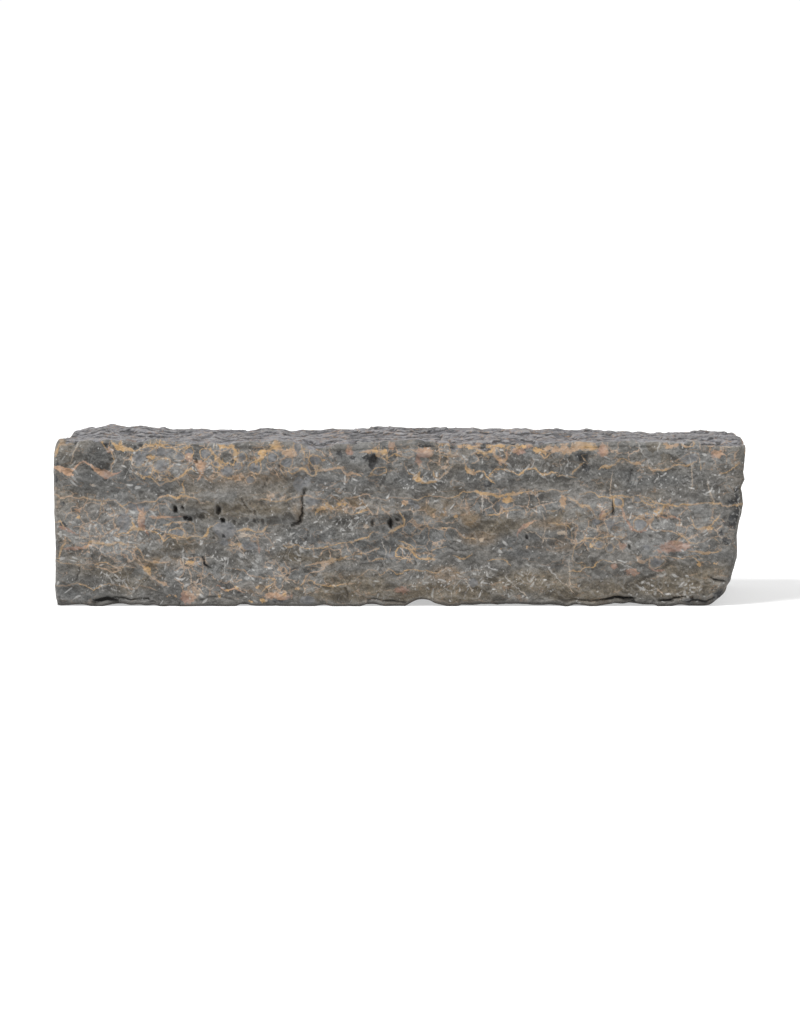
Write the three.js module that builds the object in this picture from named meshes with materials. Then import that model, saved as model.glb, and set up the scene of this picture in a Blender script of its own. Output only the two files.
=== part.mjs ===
// A rough-hewn block of grey, gold-veined marble, lying on its sawn-flat bed.
//
// The stone is one natural piece, so it is one closed solid. It starts as a subdivided box whose grid
// lines crowd towards the arrises. Each grid point is then moved by the same few rules: the arrises are
// worn round, the two ends and the upper bed follow the outlines below, chips are broken out of the lower
// front arris, and slow noise gives the split faces their swells and hollows. The bed it rests on stays
// flat. Millimetres, +Z up, +X along the block, -Y towards the front face.

import * as THREE from "three";
import { ImprovedNoise } from "three/addons/math/ImprovedNoise.js";
import { mergeVertices } from "three/addons/utils/BufferGeometryUtils.js";

const LENGTH = 1110;
const DEPTH = 300;
const HEIGHT = 262;

const HALF_LENGTH = LENGTH / 2;
const HALF_DEPTH = DEPTH / 2;
const HALF_HEIGHT = HEIGHT / 2;

// Grid steps along X, Y and Z, and how far the lines crowd towards the arrises (0 is even spacing).
const STEPS = [60, 16, 14];
const CROWDING = 0.3;

// Radius of the worn arrises, and how much it varies from place to place.
const ARRIS_RADIUS = 11;
const ARRIS_VARIATION = 3.5;

// The ends aren't square to the front: the left one leans in and the right one out towards the back.
const LEFT_END_SKEW = 18;
const RIGHT_END_SKEW = 15;

// Height of the upper bed along the front and the back arris, as [distance along X, height].
const FRONT_ARRIS = [
  [-555, 272], [-530, 271], [-480, 269], [-400, 267], [-320, 264], [-240, 261], [-160, 258], [-90, 258],
  [-20, 260], [60, 263], [200, 264], [330, 265], [450, 267], [555, 267],
];
const BACK_ARRIS = [
  [-555, 271], [-500, 272], [-445, 270], [-415, 266], [-300, 263], [-255, 261], [-222, 264],
  [-184, 261], [-130, 266], [-90, 263], [-35, 269], [5, 266], [110, 265], [165, 261],
  [205, 266], [290, 263], [420, 263], [520, 264], [555, 260],
];

// How far the right end falls back from its most forward line, as [height, distance].
const RIGHT_END = [
  [0, 62], [8, 47], [20, 36], [40, 27], [60, 23], [80, 18], [135, 13], [175, 8], [210, 5],
  [235, 4], [262, 3],
];
const LEFT_END = [[0, 4], [12, 0], [45, 0], [75, -2], [140, 0], [175, -2], [235, -2], [262, 1]];

// The end profiles act on this much of the block's length, and fade to this share at its back.
const END_REACH = 170;
const END_PROFILE_AT_BACK = 0.55;

// The lower front arris lifts towards the right-hand corner, from this distance along X.
const CORNER_LIFT = { from: 395, to: 500, height: 6 };

// Chips broken out of the lower front arris: centre along X, half width, height, and reach under the block.
const CHIPS = [
  { at: -452, halfWidth: 32, height: 8, reach: 60 },
  { at: 40, halfWidth: 36, height: 12.5, reach: 90 },
  { at: 145, halfWidth: 28, height: 7, reach: 60 },
  { at: 358, halfWidth: 50, height: 8, reach: 80 },
];

// Slow relief of the split faces: [wavelength, amplitude] pairs, with longer waves along the bedding.
const RELIEF = [[210, 3.6], [95, 2.6], [52, 1.5]];
const BEDDING_STRETCH = 1.7;
const BACK_RELIEF_GAIN = 1.25;
const END_RELIEF_GAIN = 0.7;
const TOP_RELIEF_GAIN = 0.55;

const noise = new ImprovedNoise();

// Straight-line interpolation through [position, value] pairs.
function along(profile, position) {
  if (position <= profile[0][0]) return profile[0][1];
  for (let i = 1; i < profile.length; i++) {
    const [x0, v0] = profile[i - 1];
    const [x1, v1] = profile[i];
    if (position <= x1) return THREE.MathUtils.mapLinear(position, x0, x1, v0, v1);
  }
  return profile[profile.length - 1][1];
}

// Moves an even grid coordinate towards the nearer end of its axis.
function crowded(value, half) {
  const share = value / half;
  return half * (share * (1 + CROWDING) - CROWDING * share ** 3);
}

// The sum of the relief waves at a point, in millimetres.
function relief(x, y, z) {
  return RELIEF.reduce((sum, [wavelength, amplitude], octave) => {
    const shift = 17.3 * (octave + 1);
    const value = noise.noise(
      x / (wavelength * BEDDING_STRETCH) + shift,
      y / wavelength - shift,
      z / wavelength + 0.5 * shift,
    );
    return sum + 1.6 * amplitude * value;
  }, 0);
}

// Rounds the arrises: the point is drawn to a ball of the worn radius rolled inside the box.
function wearArris(point) {
  const radius = ARRIS_RADIUS + ARRIS_VARIATION * noise.noise(point.x / 70, point.y / 70, point.z / 70 + 9);
  const core = new THREE.Vector3(
    THREE.MathUtils.clamp(point.x, radius - HALF_LENGTH, HALF_LENGTH - radius),
    THREE.MathUtils.clamp(point.y, radius - HALF_DEPTH, HALF_DEPTH - radius),
    THREE.MathUtils.clamp(point.z, radius - HALF_HEIGHT, HALF_HEIGHT - radius),
  );
  const outward = point.clone().sub(core).normalize();
  return { point: core.addScaledVector(outward, radius), outward };
}

// Share of the way from the front face to the back face, 0 to 1.
const towardsBack = (y) => THREE.MathUtils.clamp((y + HALF_DEPTH) / DEPTH, 0, 1);

// How far an end's outline moves a point along X, negative for the right end.
function endShift(point, height) {
  const depthShare = towardsBack(point.y);
  const profileShare = THREE.MathUtils.lerp(1, END_PROFILE_AT_BACK, depthShare);
  if (point.x > 0) {
    const weight = THREE.MathUtils.smoothstep(point.x, HALF_LENGTH - END_REACH, HALF_LENGTH);
    return weight * (RIGHT_END_SKEW * depthShare - profileShare * along(RIGHT_END, height));
  }
  const weight = THREE.MathUtils.smoothstep(-point.x, HALF_LENGTH - END_REACH, HALF_LENGTH);
  return weight * (LEFT_END_SKEW * depthShare + profileShare * along(LEFT_END, height));
}

// How far chips and the lifted corner raise a point of the lower front arris.
function arrisLift(point, height) {
  const fromFront = point.y + HALF_DEPTH;
  const lowness = 1 - THREE.MathUtils.smoothstep(height, 0, 45);
  const chips = CHIPS.reduce((sum, chip) => {
    const across = Math.max(0, 1 - ((point.x - chip.at) / chip.halfWidth) ** 2);
    const under = Math.max(0, 1 - fromFront / chip.reach);
    return sum + chip.height * across * under;
  }, 0);
  const corner = THREE.MathUtils.smoothstep(point.x, CORNER_LIFT.from, CORNER_LIFT.to);
  const cornerReach = 1 - THREE.MathUtils.smoothstep(fromFront, 60, 240);
  return lowness * (chips + CORNER_LIFT.height * corner * cornerReach);
}

// The finished place of one point of the plain box.
function hewn(boxPoint) {
  const even = new THREE.Vector3(
    crowded(boxPoint.x, HALF_LENGTH),
    crowded(boxPoint.y, HALF_DEPTH),
    crowded(boxPoint.z, HALF_HEIGHT),
  );
  const { point, outward } = wearArris(even);
  const height = point.z + HALF_HEIGHT;
  const offBed = THREE.MathUtils.smoothstep(height, 0, 30);

  const gain =
    Math.abs(outward.x) * END_RELIEF_GAIN +
    Math.max(0, outward.y) * BACK_RELIEF_GAIN +
    Math.max(0, -outward.y) +
    Math.max(0, outward.z) * TOP_RELIEF_GAIN;
  const swell = offBed * gain * relief(point.x, point.y, point.z);

  const topHeight = THREE.MathUtils.lerp(
    along(FRONT_ARRIS, point.x), along(BACK_ARRIS, point.x), towardsBack(point.y),
  );
  const stretched = height * (1 + offBed * (topHeight / HEIGHT - 1));
  return new THREE.Vector3(
    point.x + endShift(point, height) + swell * outward.x,
    point.y + swell * outward.y,
    Math.max(0, stretched + arrisLift(point, height) + swell * Math.max(0, outward.z)),
  );
}

// The block's surface: the box grid with every point moved to its finished place.
function blockGeometry() {
  const box = new THREE.BoxGeometry(LENGTH, DEPTH, HEIGHT, ...STEPS);
  box.deleteAttribute("normal");
  box.deleteAttribute("uv");
  const geometry = mergeVertices(box, 1e-3);
  const positions = geometry.getAttribute("position");
  const point = new THREE.Vector3();
  for (let i = 0; i < positions.count; i++) {
    const placed = hewn(point.fromBufferAttribute(positions, i));
    positions.setXYZ(i, placed.x, placed.y, placed.z);
  }
  geometry.computeBoundingBox();
  const centre = geometry.boundingBox.getCenter(new THREE.Vector3());
  geometry.translate(-centre.x, -centre.y, 0);
  geometry.computeVertexNormals();
  return geometry;
}

const greyMarble = new THREE.MeshStandardMaterial({
  name: "veined_marble",
  color: new THREE.Color(0.2, 0.185, 0.17),
  roughness: 0.8,
  metalness: 0,
});

const block = new THREE.Group();
const stone = new THREE.Mesh(blockGeometry(), greyMarble);
stone.name = "marble_block";
block.add(stone);

export default block;
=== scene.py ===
"""A rough-hewn block of grey marble, veined in gold, pink and white, lying on its flat bed.

The block is one natural stone, so the visible model is one closed mesh. It takes its outline from the
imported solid, and its split faces, flaked arrises, cracks and pits are shaped on top of that. Markings
are laid out on the front face in millimetres, as X from the block's middle and height above its bed.
They run back through the stone as sheets, so that they meet round every corner.
"""

import itertools
import logging
import math
from dataclasses import dataclass
from enum import Enum

import bpy
import numpy as np
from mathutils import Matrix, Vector
from mathutils.bvhtree import BVHTree


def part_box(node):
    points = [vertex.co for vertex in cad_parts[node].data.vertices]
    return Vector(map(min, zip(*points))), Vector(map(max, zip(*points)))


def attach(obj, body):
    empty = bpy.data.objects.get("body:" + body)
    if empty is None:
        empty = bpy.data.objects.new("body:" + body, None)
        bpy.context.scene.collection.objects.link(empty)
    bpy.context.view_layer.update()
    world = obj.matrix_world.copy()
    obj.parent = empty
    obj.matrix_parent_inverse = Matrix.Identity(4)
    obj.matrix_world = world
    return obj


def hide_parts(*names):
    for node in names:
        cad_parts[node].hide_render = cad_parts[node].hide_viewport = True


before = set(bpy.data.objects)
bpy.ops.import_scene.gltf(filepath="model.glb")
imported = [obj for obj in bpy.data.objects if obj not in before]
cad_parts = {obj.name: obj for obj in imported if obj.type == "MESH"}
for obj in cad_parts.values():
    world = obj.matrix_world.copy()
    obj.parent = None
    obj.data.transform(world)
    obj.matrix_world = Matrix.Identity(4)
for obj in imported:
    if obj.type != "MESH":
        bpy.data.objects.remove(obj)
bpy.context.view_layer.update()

MM = 0.001
log = logging.getLogger("marble_block")

Width = float | tuple[float, float, float]


# ---------------------------------------------------------------------------------------------------
# Noise on points
# ---------------------------------------------------------------------------------------------------

def cell_random(cell: np.ndarray, seed: int) -> np.ndarray:
    """Gives every whole-number cell its own fixed random number.

    Args:
        cell: Whole numbers, the last axis holding x, y and z.
        seed: Picks one of many unrelated sets of numbers.

    Returns:
        Numbers from 0 to 1, one per cell.
    """
    mixed = (
        (cell[..., 0] * 73856093) ^ (cell[..., 1] * 19349663) ^ (cell[..., 2] * 83492791) ^ (seed * 40503077)
    ) & 0xFFFFFFFF
    for factor in (2246822519, 3266489917):
        mixed = ((mixed ^ (mixed >> 15)) * factor) & 0xFFFFFFFF
    return (mixed ^ (mixed >> 16)) / float(0xFFFFFFFF)


def soft_noise(points: np.ndarray, size: Width, seed: int) -> np.ndarray:
    """Smooth random heights.

    Args:
        points: Places in millimetres, one row each.
        size: Width of one swell in millimetres, or one width per axis.
        seed: Picks the pattern.

    Returns:
        Heights from -1 to 1, one per place.
    """
    scaled = points / np.asarray(size, float)
    low = np.floor(scaled).astype(np.int64)
    share = scaled - low
    ease = share * share * (3 - 2 * share)
    total = np.zeros(len(points))
    for corner in itertools.product((0, 1), repeat=3):
        weight = np.prod(np.where(corner, ease, 1 - ease), axis=1)
        total += weight * cell_random(low + np.array(corner), seed)
    return 2 * total - 1


def layered_noise(points: np.ndarray, size: Width, layers: int, seed: int) -> np.ndarray:
    """Adds layers of soft noise, each half as wide and half as high as the one before."""
    total = sum(soft_noise(points * 2**i, size, seed + i) / 2**i for i in range(layers))
    return total / (2 - 0.5 ** (layers - 1))


def bowls(points: np.ndarray, size: Width, seed: int) -> np.ndarray:
    """Shell-shaped hollows that meet in ridges, as flakes leave them.

    Args:
        points: Places in millimetres, one row each.
        size: Typical width of a hollow, in all or one per axis.
        seed: Picks the pattern.

    Returns:
        Heights around 0: negative in a hollow, positive on a ridge.
    """
    scaled = points / np.asarray(size, float)
    home = np.floor(scaled).astype(np.int64)
    lowest = np.full(len(points), np.inf)
    for step in itertools.product((-1, 0, 1), repeat=3):
        cell = home + np.array(step)
        centre = cell + np.stack([cell_random(cell, seed + axis) for axis in range(3)], axis=1)
        height = ((scaled - centre) ** 2).sum(axis=1) + 0.5 * cell_random(cell, seed + 3)
        lowest = np.minimum(lowest, height)
    return lowest - 0.42


def ease_between(low: float, high: float, value: np.ndarray) -> np.ndarray:
    """Rises smoothly from 0 at low to 1 at high; low may be the larger one."""
    share = np.clip((value - low) / (high - low), 0, 1)
    return share * share * (3 - 2 * share)


# ---------------------------------------------------------------------------------------------------
# Markings, laid out on the front face
# ---------------------------------------------------------------------------------------------------

class Tone(Enum):
    """Minerals that mark the stone. The value names the mask that the mesh carries."""

    GOLD = "gold"
    ROSE = "rose"
    PALE = "pale"
    COAL = "coal"
    ASH = "ash"
    UMBER = "umber"
    NET = "net"
    FLECK = "fleck"
    SOOT = "soot"
    OCHRE = "ochre"
    BRIGHT = "bright"
    DUSK = "dusk"


LINE_TONES = (Tone.GOLD, Tone.ROSE, Tone.PALE)
BLOT_SETS = {
    "a": (Tone.GOLD, Tone.ROSE, Tone.PALE),
    "b": (Tone.COAL, Tone.ASH, Tone.UMBER),
    "c": (Tone.NET, Tone.FLECK, Tone.SOOT),
    "d": (Tone.OCHRE, Tone.BRIGHT, Tone.DUSK),
}


def rows(text: str) -> list[tuple[float, ...]]:
    """Reads numbers written as "1,2 3,4", one row a word."""
    return [tuple(float(number) for number in word.split(",")) for word in text.split()]


@dataclass(frozen=True)
class Seam:
    """A mineral-filled seam, or a crack, along a bent line.

    Attributes:
        half_width: Half its width in millimetres.
        path: Its points as "x,height" in millimetres; a third number is the half width there.
    """

    half_width: float
    path: str

    def segments(self) -> np.ndarray:
        """Rows of x, height and half width at one end, then at the other."""
        ends = np.array([row if len(row) == 3 else (*row, self.half_width) for row in rows(self.path)])
        return np.hstack([ends[:-1], ends[1:]])


@dataclass(frozen=True)
class Ring:
    """A seam that rounds a nodule.

    Attributes:
        x: Middle of the nodule.
        height: Middle of the nodule above the bed.
        radius_x: Half its width.
        radius_z: Half its height.
        half_width: Half the seam's width.
        start: Where the seam starts, in degrees from +X.
        end: Where it ends.
    """

    x: float
    height: float
    radius_x: float
    radius_z: float
    half_width: float = 0.9
    start: float = 0
    end: float = 360

    def segments(self) -> np.ndarray:
        """Rows of x, height and half width at one end, then at the other."""
        turn = np.radians(np.linspace(self.start, self.end, 13))
        wobble = 1 + 0.12 * np.sin(3 * turn + self.x)
        ends = np.stack(
            [
                self.x + self.radius_x * wobble * np.cos(turn),
                self.height + self.radius_z * wobble * np.sin(turn),
                np.full(len(turn), self.half_width),
            ],
            axis=1,
        )
        return np.hstack([ends[:-1], ends[1:]])


SEAMS: dict[Tone, tuple[Seam | Ring, ...]] = {
    Tone.GOLD: (
        # Upper left.
        Seam(2.4, "-557,244 -550,263 -541,269"),
        Seam(1.0, "-549,258 -534,258"),
        Seam(1.4, "-502,271 -493,268 -482,255 -472,249 -466,236 -471,226 -470,217"),
        Seam(3.4, "-469,260,2 -453,254 -438,249,3 -434,246,1"),
        Seam(1.0, "-477,271 -459,270 -456,260"),
        Ring(-426, 238, 14, 13, 1.2, 170, 370),
        Ring(-390, 226, 15, 13),
        Seam(1.5, "-424,212 -411,209 -405,214 -404,208 -395,196,2 -382,202 -369,206 -358,209 -344,222 "
                  "-338,218"),
        Seam(1.0, "-385,265 -373,268 -364,258 -363,250"),
        Seam(1.0, "-438,246 -420,252 -402,257 -385,252 -366,250 -350,256"),
        Ring(-346, 247, 8, 7),
        Ring(-320, 244, 10, 9),
        Ring(-285, 217, 14, 12),
        Ring(-269, 226, 8, 8),
        Ring(-240, 223, 11, 10),
        Ring(-303, 229, 5, 5),
        Ring(-294, 227, 5, 5),
        Seam(1.8, "-301,257 -294,255 -288,255 -278,255 -272,249,2.6 -272,240,3 -276,228,1.4"),
        Seam(2.2, "-312,252 -306,244 -300,236,3 -296,230"),
        Seam(2.4, "-238,232,1.4 -229,238 -224,248,3.5 -216,250 -208,254,3.5 -200,250 -188,244,4 "
                  "-178,240,2"),
        Ring(-173, 249, 8, 8, 1.2, 0, 190),
        Seam(1.5, "-163,246 -163,238"),
        Ring(-145, 233, 10, 9, 1.1, 20, 300),
        Seam(1.8, "-221,226 -214,216"),
        Seam(1.8, "-211,219 -204,209"),
        Seam(1.8, "-201,221 -195,213"),
        # Chain under the front arris, middle.
        Seam(1.8, "-186,218 -183,212 -174,216 -167,221,2.6 -161,221 -156,214 -150,211 -144,212 -140,218 "
                  "-130,218,3 -120,220 -114,222 -102,223"),
        Seam(2.2, "-98,217,1.4 -94,212 -88,216 -82,214 -75,211"),
        Seam(2.4, "-68,246 -58,248 -47,252 -45,244 -32,249 -29,236"),
        Ring(-42, 244, 5, 5, 1.4),
        Seam(1.1, "-59,211 -47,221 -32,223 -30,214 -45,210 -59,211"),
        Seam(1.6, "-37,237 -29,236 -22,241 -16,244 -10,239 -3,239 6,238,2.4 12,240"),
        Seam(1.2, "11,251 19,248"),
        Seam(1.6, "58,258 70,260,3.2 83,262 92,258"),
        Seam(1.4, "70,258 73,250 75,243"),
        Seam(1.2, "58,242 74,239 87,239 93,234 94,228 98,222,4 104,217,3.5 110,214,2.4 118,217 125,218 "
                  "131,210 141,201"),
        Seam(3.6, "100,262 107,261,7 114,257,7.5 119,249,5 128,242,5 133,247,4 136,255,5 142,259,5 "
                  "149,259,3"),
        Seam(1.4, "143,255 144,241 150,236,1.8 159,231,2.6 164,238 160,245 157,252 155,258"),
        Seam(1.3, "60,260 66,257 73,262 84,261,2 91,255 94,265 100,266,1.8"),
        Seam(1.2, "71,258 72,244 79,242 88,254"),
        Ring(172, 252, 7, 7, 0.9),
        Seam(2.6, "160,253,1.8 170,258,1.4 181,256"),
        Ring(-413, 249, 11, 8, 0.9, 0, 190),
        Ring(-386, 247, 22, 9, 0.8, 0, 180),
        Ring(-378, 257, 15, 7, 0.9, -20, 200),
        Ring(-361, 240, 8, 7, 0.7),
        Ring(-400, 213, 8, 7, 0.8),
        Ring(-385, 212, 9, 6, 0.8),
        Ring(-416, 213, 10, 7, 0.9, 180, 360),
        Ring(-262, 238, 9, 8, 0.9),
        Ring(-212, 238, 9, 8, 0.9),
        Ring(-190, 230, 10, 8, 0.9),
        Ring(-248, 205, 9, 8, 0.8),
        Seam(1.8, "0,225,1 6,214 14,211 20,204,4 26,201,3.4 35,197 41,201 48,202,2.6 62,211 74,222,1"),
        Seam(2.4, "20,204 22,215"),
        Seam(2.2, "48,202 46,212"),
        Seam(1.6, "164,254 170,248"),
        Seam(1.8, "205,249 209,246,2.4 218,242 224,238 231,241 238,246,2.4 247,247,3 252,252,5.5 "
                  "262,249,6 272,252,5.5 281,257,4.5 290,259,3 300,257,2.6 306,253,3"),
        Seam(1.6, "284,251 290,247 296,252 302,246 308,250"),
        Seam(3.4, "224,252,2 231,252,4.4 238,253,2"),
        Seam(1.4, "286,236 291,231"),
        Seam(1.8, "287,229 282,225,2.4 270,215"),
        # Seam below the chain.
        Seam(1.2, "136,214 143,218 163,220 173,217 180,212 187,216,2.2 195,220 208,221 216,215 "
                  "224,212,2.4 234,215 240,214"),
        Seam(1.0, "248,210 258,210 272,208"),
        Seam(1.4, "315,221 325,224,3 336,228 346,236 351,236 358,231,2.4 366,228,3.2 376,230,2.6 384,233"),
        Seam(1.2, "390,225 398,218 406,218,2 416,217,2.2 427,222 434,226 451,226 466,231"),
        Seam(0.9, "433,230 443,236 458,244 470,244 474,231 475,223"),
        # Upper right.
        Seam(1.2, "322,262 333,263 342,266"),
        Seam(2.0, "361,265 373,266 384,268,1"),
        Seam(1.8, "416,258 426,254 436,254,2.6 438,262 451,254,2.6 462,255 466,262"),
        Seam(1.4, "475,263 485,256"),
        Seam(1.8, "518,269 536,265 544,261 543,241"),
        Seam(1.0, "505,215 514,214 522,219 530,224"),
        # Long seam across the middle.
        Seam(1.4, "-557,179 -550,175 -536,178 -523,174 -514,176 -501,172 -487,169 -477,172 -464,171 "
                  "-454,162 -442,169 -435,165 -415,169 -400,169 -393,176 -380,178,4 -364,174 -357,179 "
                  "-346,178 -334,174,0.8"),
        Seam(1.0, "-357,199 -355,183"),
        Seam(1.2, "-487,170 -488,154"),
        Seam(1.3, "-240,174,0.6 -216,171 -192,171 -179,174 -167,178 -157,179,1.8 -149,176 -141,174 "
                  "-135,176 -128,172"),
        Seam(1.2, "-102,169 -96,176 -89,174 -77,178 -66,181 -58,178 -53,174 -47,176 -40,173 -29,171 "
                  "-24,176 -6,174 9,175 21,171 29,178 38,180 53,178 67,175 86,177 91,184 101,186 "
                  "113,188 120,183,2.4 131,182,3.6 154,179,3.8 166,182,2.6 179,182,2 189,185 200,186 "
                  "206,183"),
        Seam(0.8, "214,185 227,186 234,190 243,188 248,185 258,186"),
        Seam(1.3, "283,183 295,185 305,184 312,177 320,178 331,174 338,179,3 347,180,2.4 363,177 "
                  "373,180 382,177 394,175 400,169 418,164 421,166,2.4 430,164 439,162 445,166 456,164 "
                  "469,164 475,167 486,168 494,166,2.6 504,166 513,161 538,164"),
        # Middle left.
        Seam(2.4, "-438,140,1 -432,124 -419,126"),
        Seam(1.2, "-461,118 -446,119 -438,125,2 -411,122 -394,116 -389,106 -378,113 -373,110 -358,113 "
                  "-350,111,1.8 -339,115 -327,110 -320,116,2 -314,127 -302,133"),
        Seam(1.1, "-384,132 -374,135 -357,134 -350,137 -339,135 -337,120"),
        Ring(-366, 120, 13, 7),
        Seam(1.3, "-557,135 -550,137 -546,126"),
        Seam(2.2, "-546,102 -552,89 -554,78"),
        Seam(1.6, "-509,97 -504,105 -490,103,2.2 -475,99 -461,105 -448,100"),
        Seam(1.4, "-432,97 -424,89 -418,78 -409,73 -398,70,1.8 -382,72"),
        Seam(2.6, "-420,64,1.6 -413,57,4 -408,47,2.4 -397,41 -386,36,3.4"),
        Seam(0.8, "-555,71 -539,68 -523,66 -507,70 -482,71 -472,66 -462,63 -446,65 -435,63"),
        Seam(0.8, "-494,65 -482,60 -470,55 -458,58"),
        Seam(0.8, "-554,33 -539,31 -523,38 -509,34 -498,27 -490,33 -477,36 -466,37 -450,31 -435,28 "
                  "-427,34 -409,30 -402,27"),
        # Round the cream lens and right of the deep crack.
        Seam(1.8, "-266,122 -254,126,2.6 -239,119 -229,121 -223,129"),
        Seam(2.0, "-277,99 -265,100 -262,94"),
        Seam(2.4, "-142,153 -140,158 -130,159,3 -125,166,2.2 -118,158,3.5 -108,160,1.6"),
        Seam(2.0, "-80,150 -66,154"),
        Seam(1.4, "-35,158 -31,151 -26,147"),
        Seam(1.8, "-8,151 -3,142,2.8 -2,131,3.2 -12,126,2.4 -22,121"),
        Seam(1.0, "30,142 31,132 38,128"),
        Seam(1.3, "58,127 75,127 81,125 85,118,2.2 90,113,1.8 101,110 110,108"),
        Seam(1.1, "-192,97 -187,94 -179,100,2 -173,99 -163,95 -158,94 -147,94 -131,95 -115,99 -106,102 "
                  "-88,104 -82,104 -75,108,1.8 -61,110,1.6 -53,118"),
        Seam(1.3, "-155,67 -141,70 -133,70 -125,73 -118,78,2.4 -109,76 -94,81 -84,83 -75,85 -69,87,2.6 "
                  "-63,86 -51,92 -45,94"),
        Seam(1.0, "-130,66 -118,72 -96,78"),
        Seam(1.4, "-59,78 -56,73 -45,76 -35,76"),
        Seam(1.4, "-165,38 -158,50 -152,54 -140,57 -131,63"),
        Seam(0.8, "-158,42 -150,41 -142,37 -128,36 -115,34 -85,37"),
        Seam(0.8, "-75,48 -67,53 -58,59 -47,58 -40,49 -33,54 -26,60 -17,55 -11,51 -1,58 11,61 24,58 "
                  "34,59 41,55 51,54 58,56 66,61 72,61"),
        Seam(0.8, "78,54 92,54"),
        # Lower middle.
        Seam(1.0, "-6,104 2,100 9,99 14,94 26,92"),
        Seam(1.0, "45,90 54,94 62,95"),
        Seam(1.8, "0,94,1 9,92 14,84,3.2 19,78,2.8 34,78,2 46,76,1"),
        Seam(1.0, "13,76 -3,79 -14,81 -17,89 -8,95 0,94"),
        Seam(1.5, "82,81 90,78 97,79 103,83"),
        Seam(1.0, "-285,62 -274,60 -258,57 -251,50 -235,49 -228,44 -211,44"),
        Seam(1.5, "-228,25 -216,34"),
        # Right of the middle.
        Seam(1.2, "136,148 152,150 160,154 171,156 182,155"),
        Seam(1.5, "238,154 232,153"),
        Seam(1.4, "263,175,2 270,172 282,162 293,161,2.4 299,154,2 305,145 310,142,2 317,147,3 328,152 "
                  "334,157"),
        Seam(1.2, "234,135 242,135,2.4 248,132 258,131 266,127 269,121 269,111"),
        Seam(1.3, "274,97 282,104 289,110 299,110 307,110 317,111 330,115,2 339,112 350,112"),
        Seam(0.8, "272,94 268,82 270,73 275,70 285,71"),
        Seam(0.9, "266,57 277,56 283,58 289,63 304,64 307,71 317,76 328,73"),
        Seam(0.8, "136,76 149,78 160,78 168,69"),
        # Nodules and nets on the right.
        Ring(343, 169, 8, 10, 1.6),
        Ring(378, 132, 11, 11, 1.2),
        Seam(1.6, "384,169 387,164,2.6 397,162,2.2 402,167"),
        Seam(2.2, "418,162 410,156,2.6 402,154,3.4 406,147,1.4"),
        Seam(1.8, "376,146,2.6 386,150"),
        Seam(1.3, "397,141,3.6 392,134,2.4 394,126 400,122 416,121 426,121 436,118 446,114 454,108 "
                  "459,103,2 466,102 475,105 485,110 496,111 501,106"),
        Seam(1.1, "493,158 491,144"),
        Seam(1.5, "461,141 466,129 475,126 485,128,2.8 493,134 501,146"),
        Seam(1.8, "458,89 469,90 478,86,3.8 491,87,2.4 502,89"),
        Seam(1.0, "403,79 416,81 433,79 443,76 456,81 464,79 472,71,2"),
        Seam(1.8, "373,79,1 378,71,3 384,70,2.6 389,76,1"),
        Ring(404, 72, 14, 9, 0.8),
        Ring(373, 172, 7, 6, 0.8),
        Ring(390, 144, 6, 6, 0.9),
        Ring(311, 100, 8, 7, 0.8),
        Ring(330, 95, 6, 8, 0.8),
    ),
    Tone.ROSE: (
        Seam(3.0, "-560,223,2 -549,222 -536,215,5.5 -526,222,2 -522,228,1.2 -512,231,1.2 -502,226,1.6 "
                  "-493,217 -480,212,6 -467,212,3 -458,215,1"),
        Seam(2.0, "-405,145 -386,145 -358,145,1.2"),
        Seam(3.6, "-549,126 -528,118,2"),
        Seam(3.8, "-539,94,3 -525,94 -509,97,2.4"),
        Seam(1.4, "-430,160 -424,150 -428,140 -420,128 -415,118"),
        Seam(2.2, "143,255,1.4 143,242,1.4 157,231,4.5 164,238,2 163,248,1.2"),
        Seam(2.4, "182,118,1.6 189,129,3.2 197,134,4 205,137,2.4"),
        Seam(1.4, "346,159 354,146 356,139 361,130,2 368,124,2.4 378,119 387,122"),
        Seam(1.5, "394,62 403,59 413,58"),
        Seam(2.0, "-336,232 -328,224,5 -326,214,4 -330,206,1.6"),
        Seam(1.2, "408,146 420,143 432,146 440,142"),
        Seam(1.2, "-300,31 -288,24 -276,28 -262,22"),
    ),
    Tone.PALE: (
        Seam(1.5, "-522,264 -525,254 -529,246 -531,233,0.8"),
        Seam(1.0, "-301,258 -293,264 -285,269"),
        Seam(1.0, "-52,260 -42,265 -28,270"),
        Seam(1.3, "93,263 96,268 104,270 119,272"),
        Seam(1.5, "373,265 376,253 384,241 397,228"),
        Seam(2.6, "410,262 406,251,1.6"),
        Seam(1.2, "499,265 504,254 521,253 536,259"),
        Seam(2.6, "-544,114 -512,111"),
        Seam(1.4, "-357,90 -357,73,2"),
        Seam(1.0, "-323,79 -307,79 -296,74"),
        Seam(3.4, "-270,110,2.4 -262,116 -248,114 -235,111,2"),
        Seam(2.2, "-270,94,3 -261,87 -256,79,1.4"),
        Seam(1.0, "214,169 224,168 234,169 243,169"),
        Seam(0.9, "197,121 210,120 216,114 227,111 240,110 248,105 261,99"),
        Seam(1.1, "219,66 229,63 235,57 242,49 248,46 254,38 263,32 270,24"),
        Seam(1.0, "326,73 338,72 346,69 376,57"),
        Seam(1.2, "-466,52 -458,44 -448,34 -440,24"),
        Seam(1.3, "-484,52 -474,46 -466,36"),
        Seam(1.1, "-346,42 -336,34 -328,23"),
        Seam(1.2, "-209,55 -196,48 -183,36"),
        Seam(1.2, "97,44 103,34 108,25"),
        Seam(1.0, "163,48 169,42 175,36"),
        Seam(1.0, "180,31 194,16"),
        Seam(0.8, "263,78 265,54 266,31"),
        Seam(0.8, "333,212 330,196 330,179"),
        Seam(1.5, "485,202 489,184 494,170,2"),
        Seam(0.7, "-290,70 -290,54"),
        Seam(1.6, "124,176 125,156"),
        Seam(0.7, "-470,250 -463,238 -467,226 -476,216"),
        Seam(0.8, "455,242 460,226 462,206 459,190"),
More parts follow.
